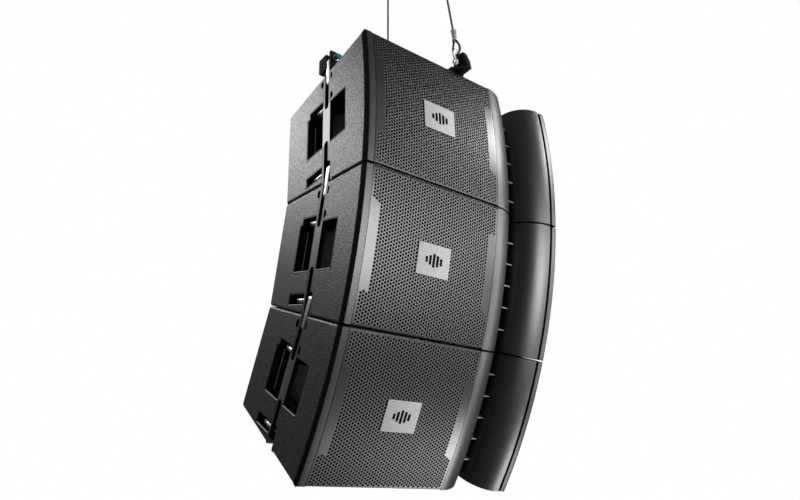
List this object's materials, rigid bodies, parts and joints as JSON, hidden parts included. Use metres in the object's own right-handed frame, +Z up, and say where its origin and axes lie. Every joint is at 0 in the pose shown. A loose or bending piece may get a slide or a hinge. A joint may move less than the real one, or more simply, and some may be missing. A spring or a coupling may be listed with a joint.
{
  "type": "flown line array of wedge speaker cabinets",
  "caption": "Curved line array of wedge-shaped speaker cabinets with perforated grilles and vertical side horns, pinned together by side link bars under an array frame on wire ropes.",
  "frame": {"origin": "the rear lifting lug of the array frame, at the centre of its shackle hole, on the width centre line", "axes": "+Z up with the array hanging and the top cabinet level; -Y is the way the top cabinet faces; +X to the right seen from the front"},
  "size_m": [0.597, 0.6385, 1.5775],
  "materials": {
    "cabinet_paint": "textured dark grey water-based paint on birch plywood",
    "grille_paint": "dark grey powder coat on perforated steel",
    "horn_plastic": "satin black moulded plastic",
    "driver_metal": "cast metal, dull",
    "cone_paper": "treated black paper cone with a cloth surround",
    "panel_paint": "black painted steel",
    "knob_plastic": "black moulded knob",
    "rail_paint": "black painted steel, worn to metal on its edges",
    "bare_steel": "bright bare steel",
    "pin_steel": "plated steel shank with a blue-green button",
    "pin_button": "blue-green anodised button",
    "zinc": "bright zinc plate",
    "rope_wire": "galvanised wire rope and pressed ferrules",
    "frame_paint": "black powder coat",
    "badge": "satin light grey plate with a plain raised motif",
    "fastener": "black screws"
  },
  "bodies": {
    "rigging_and_cabinets": {"array_frame": "frame_paint", "rope_front": "rope_wire", "rope_rear": "rope_wire", "rope_front_lower_eye": "rope_wire", "rope_front_upper_eye": "rope_wire", "rope_rear_lower_eye": "rope_wire", "rope_rear_upper_eye": "rope_wire", "top_enclosure": "cabinet_paint", "top_grille": "grille_paint", "top_waveguide": "horn_plastic", "top_hf_driver_bank": "driver_metal", "top_woofer_frame": "driver_metal", "top_input_panel": "panel_paint", "top_rail_left": "rail_paint", "top_rail_right": "rail_paint", "mid_enclosure": "cabinet_paint", "mid_grille": "grille_paint", "mid_waveguide": "horn_plastic", "mid_hf_driver_bank": "driver_metal", "mid_woofer_frame": "driver_metal", "mid_input_panel": "panel_paint", "mid_rail_left": "rail_paint", "mid_rail_right": "rail_paint", "low_enclosure": "cabinet_paint", "low_grille": "grille_paint", "low_waveguide": "horn_plastic", "low_hf_driver_bank": "driver_metal", "low_woofer_frame": "driver_metal", "low_input_panel": "panel_paint", "low_rail_left": "rail_paint", "low_rail_right": "rail_paint"},
    "top_woofer_cone": {"top_woofer_cone": "cone_paper"},
    "top_selector": {"top_selector": "knob_plastic"},
    "top_link_bar_left": {"top_link_bar_left": "bare_steel"},
    "top_storage_pin_left": {"top_storage_pin_left": "pin_steel"},
    "top_lock_pin_left": {"top_lock_pin_left": "pin_steel"},
    "top_link_bar_right": {"top_link_bar_right": "bare_steel"},
    "top_storage_pin_right": {"top_storage_pin_right": "pin_steel"},
    "top_lock_pin_right": {"top_lock_pin_right": "pin_steel"},
    "mid_woofer_cone": {"mid_woofer_cone": "cone_paper"},
    "mid_selector": {"mid_selector": "knob_plastic"},
    "mid_link_bar_left": {"mid_link_bar_left": "bare_steel"},
    "mid_storage_pin_left": {"mid_storage_pin_left": "pin_steel"},
    "mid_lock_pin_left": {"mid_lock_pin_left": "pin_steel"},
    "mid_link_bar_right": {"mid_link_bar_right": "bare_steel"},
    "mid_storage_pin_right": {"mid_storage_pin_right": "pin_steel"},
    "mid_lock_pin_right": {"mid_lock_pin_right": "pin_steel"},
    "low_woofer_cone": {"low_woofer_cone": "cone_paper"},
    "low_selector": {"low_selector": "knob_plastic"},
    "low_link_bar_left": {"low_link_bar_left": "bare_steel"},
    "low_storage_pin_left": {"low_storage_pin_left": "pin_steel"},
    "low_lock_pin_left": {"low_lock_pin_left": "pin_steel"},
    "low_link_bar_right": {"low_link_bar_right": "bare_steel"},
    "low_storage_pin_right": {"low_storage_pin_right": "pin_steel"},
    "low_lock_pin_right": {"low_lock_pin_right": "pin_steel"},
    "frame_pin_left": {"frame_pin_left": "pin_steel"},
    "frame_pin_right": {"frame_pin_right": "pin_steel"},
    "shackle_front": {"shackle_front": "zinc"},
    "shackle_rear": {"shackle_rear": "zinc"}
  },
  "joints": [
    {"name": "top_cone_stroke", "type": "slide", "parent": "rigging_and_cabinets", "child": "top_woofer_cone", "axis": [0, -1, 0], "range_m": [-0.006, 0.006], "stiffness_N_per_m": 2500},
    {"name": "top_selector_turn", "type": "hinge", "parent": "rigging_and_cabinets", "child": "top_selector", "pos_m": [0, 0.1015, -0.216], "axis": [0, 1, 0], "range_deg": [-40, 40]},
    {"name": "top_link_bar_left_swing", "type": "hinge", "parent": "rigging_and_cabinets", "child": "top_link_bar_left", "pos_m": [-0.2865, -0.1605, -0.09], "axis": [0, -1, 0], "range_deg": [0, 180]},
    {"name": "top_storage_pin_left_pull", "type": "slide", "parent": "rigging_and_cabinets", "child": "top_storage_pin_left", "axis": [0, 1, 0], "range_m": [0, 0.026]},
    {"name": "top_lock_pin_left_pull", "type": "slide", "parent": "rigging_and_cabinets", "child": "top_lock_pin_left", "axis": [0, 1, 0], "range_m": [0, 0.026]},
    {"name": "top_link_bar_right_swing", "type": "hinge", "parent": "rigging_and_cabinets", "child": "top_link_bar_right", "pos_m": [0.2865, -0.1605, -0.09], "axis": [0, 1, 0], "range_deg": [0, 180]},
    {"name": "top_storage_pin_right_pull", "type": "slide", "parent": "rigging_and_cabinets", "child": "top_storage_pin_right", "axis": [0, 1, 0], "range_m": [0, 0.026]},
    {"name": "top_lock_pin_right_pull", "type": "slide", "parent": "rigging_and_cabinets", "child": "top_lock_pin_right", "axis": [0, 1, 0], "range_m": [0, 0.026]},
    {"name": "mid_cone_stroke", "type": "slide", "parent": "rigging_and_cabinets", "child": "mid_woofer_cone", "axis": [0, -0.9659, -0.2588], "range_m": [-0.006, 0.006], "stiffness_N_per_m": 2500},
    {"name": "mid_selector_turn", "type": "hinge", "parent": "rigging_and_cabinets", "child": "mid_selector", "pos_m": [0, 0.13213, -0.44865], "axis": [0, 0.9659, 0.2588], "range_deg": [-40, 40]},
    {"name": "mid_link_bar_left_swing", "type": "hinge", "parent": "rigging_and_cabinets", "child": "mid_link_bar_left", "pos_m": [-0.2865, -0.15355, -0.39476], "axis": [0, -0.9659, -0.2588], "range_deg": [0, 180]},
    {"name": "mid_storage_pin_left_pull", "type": "slide", "parent": "rigging_and_cabinets", "child": "mid_storage_pin_left", "axis": [0, 0.9659, 0.2588], "range_m": [0, 0.026]},
    {"name": "mid_lock_pin_left_pull", "type": "slide", "parent": "rigging_and_cabinets", "child": "mid_lock_pin_left", "axis": [0, 0.9659, 0.2588], "range_m": [0, 0.026]},
    {"name": "mid_link_bar_right_swing", "type": "hinge", "parent": "rigging_and_cabinets", "child": "mid_link_bar_right", "pos_m": [0.2865, -0.15355, -0.39476], "axis": [0, 0.9659, 0.2588], "range_deg": [0, 180]},
    {"name": "mid_storage_pin_right_pull", "type": "slide", "parent": "rigging_and_cabinets", "child": "mid_storage_pin_right", "axis": [0, 0.9659, 0.2588], "range_m": [0, 0.026]},
    {"name": "mid_lock_pin_right_pull", "type": "slide", "parent": "rigging_and_cabinets", "child": "mid_lock_pin_right", "axis": [0, 0.9659, 0.2588], "range_m": [0, 0.026]},
    {"name": "low_cone_stroke", "type": "slide", "parent": "rigging_and_cabinets", "child": "low_woofer_cone", "axis": [0, -0.866, -0.5], "range_m": [-0.006, 0.006], "stiffness_N_per_m": 2500},
    {"name": "low_selector_turn", "type": "hinge", "parent": "rigging_and_cabinets", "child": "low_selector", "pos_m": [0, 0.22193, -0.66545], "axis": [0, 0.866, 0.5], "range_deg": [-40, 40]},
    {"name": "low_link_bar_left_swing", "type": "hinge", "parent": "rigging_and_cabinets", "child": "low_link_bar_left", "pos_m": [-0.2865, -0.06797, -0.68733], "axis": [0, -0.866, -0.5], "range_deg": [0, 180]},
    {"name": "low_storage_pin_left_pull", "type": "slide", "parent": "rigging_and_cabinets", "child": "low_storage_pin_left", "axis": [0, 0.866, 0.5], "range_m": [0, 0.026]},
    {"name": "low_lock_pin_left_pull", "type": "slide", "parent": "rigging_and_cabinets", "child": "low_lock_pin_left", "axis": [0, 0.866, 0.5], "range_m": [0, 0.026]},
    {"name": "low_link_bar_right_swing", "type": "hinge", "parent": "rigging_and_cabinets", "child": "low_link_bar_right", "pos_m": [0.2865, -0.06797, -0.68733], "axis": [0, 0.866, 0.5], "range_deg": [0, 180]},
    {"name": "low_storage_pin_right_pull", "type": "slide", "parent": "rigging_and_cabinets", "child": "low_storage_pin_right", "axis": [0, 0.866, 0.5], "range_m": [0, 0.026]},
    {"name": "low_lock_pin_right_pull", "type": "slide", "parent": "rigging_and_cabinets", "child": "low_lock_pin_right", "axis": [0, 0.866, 0.5], "range_m": [0, 0.026]},
    {"name": "frame_pin_left_pull", "type": "slide", "parent": "rigging_and_cabinets", "child": "frame_pin_left", "axis": [0, -1, 0], "range_m": [0, 0.034]},
    {"name": "frame_pin_right_pull", "type": "slide", "parent": "rigging_and_cabinets", "child": "frame_pin_right", "axis": [0, -1, 0], "range_m": [0, 0.034]},
    {"name": "shackle_front_swing", "type": "hinge", "parent": "rigging_and_cabinets", "child": "shackle_front", "pos_m": [0, -0.315, 0], "axis": [1, 0, 0], "range_deg": [-4, 4]},
    {"name": "shackle_rear_swing", "type": "hinge", "parent": "rigging_and_cabinets", "child": "shackle_rear", "pos_m": [0, 0, 0], "axis": [1, 0, 0], "range_deg": [-4, 4]}
  ]
}
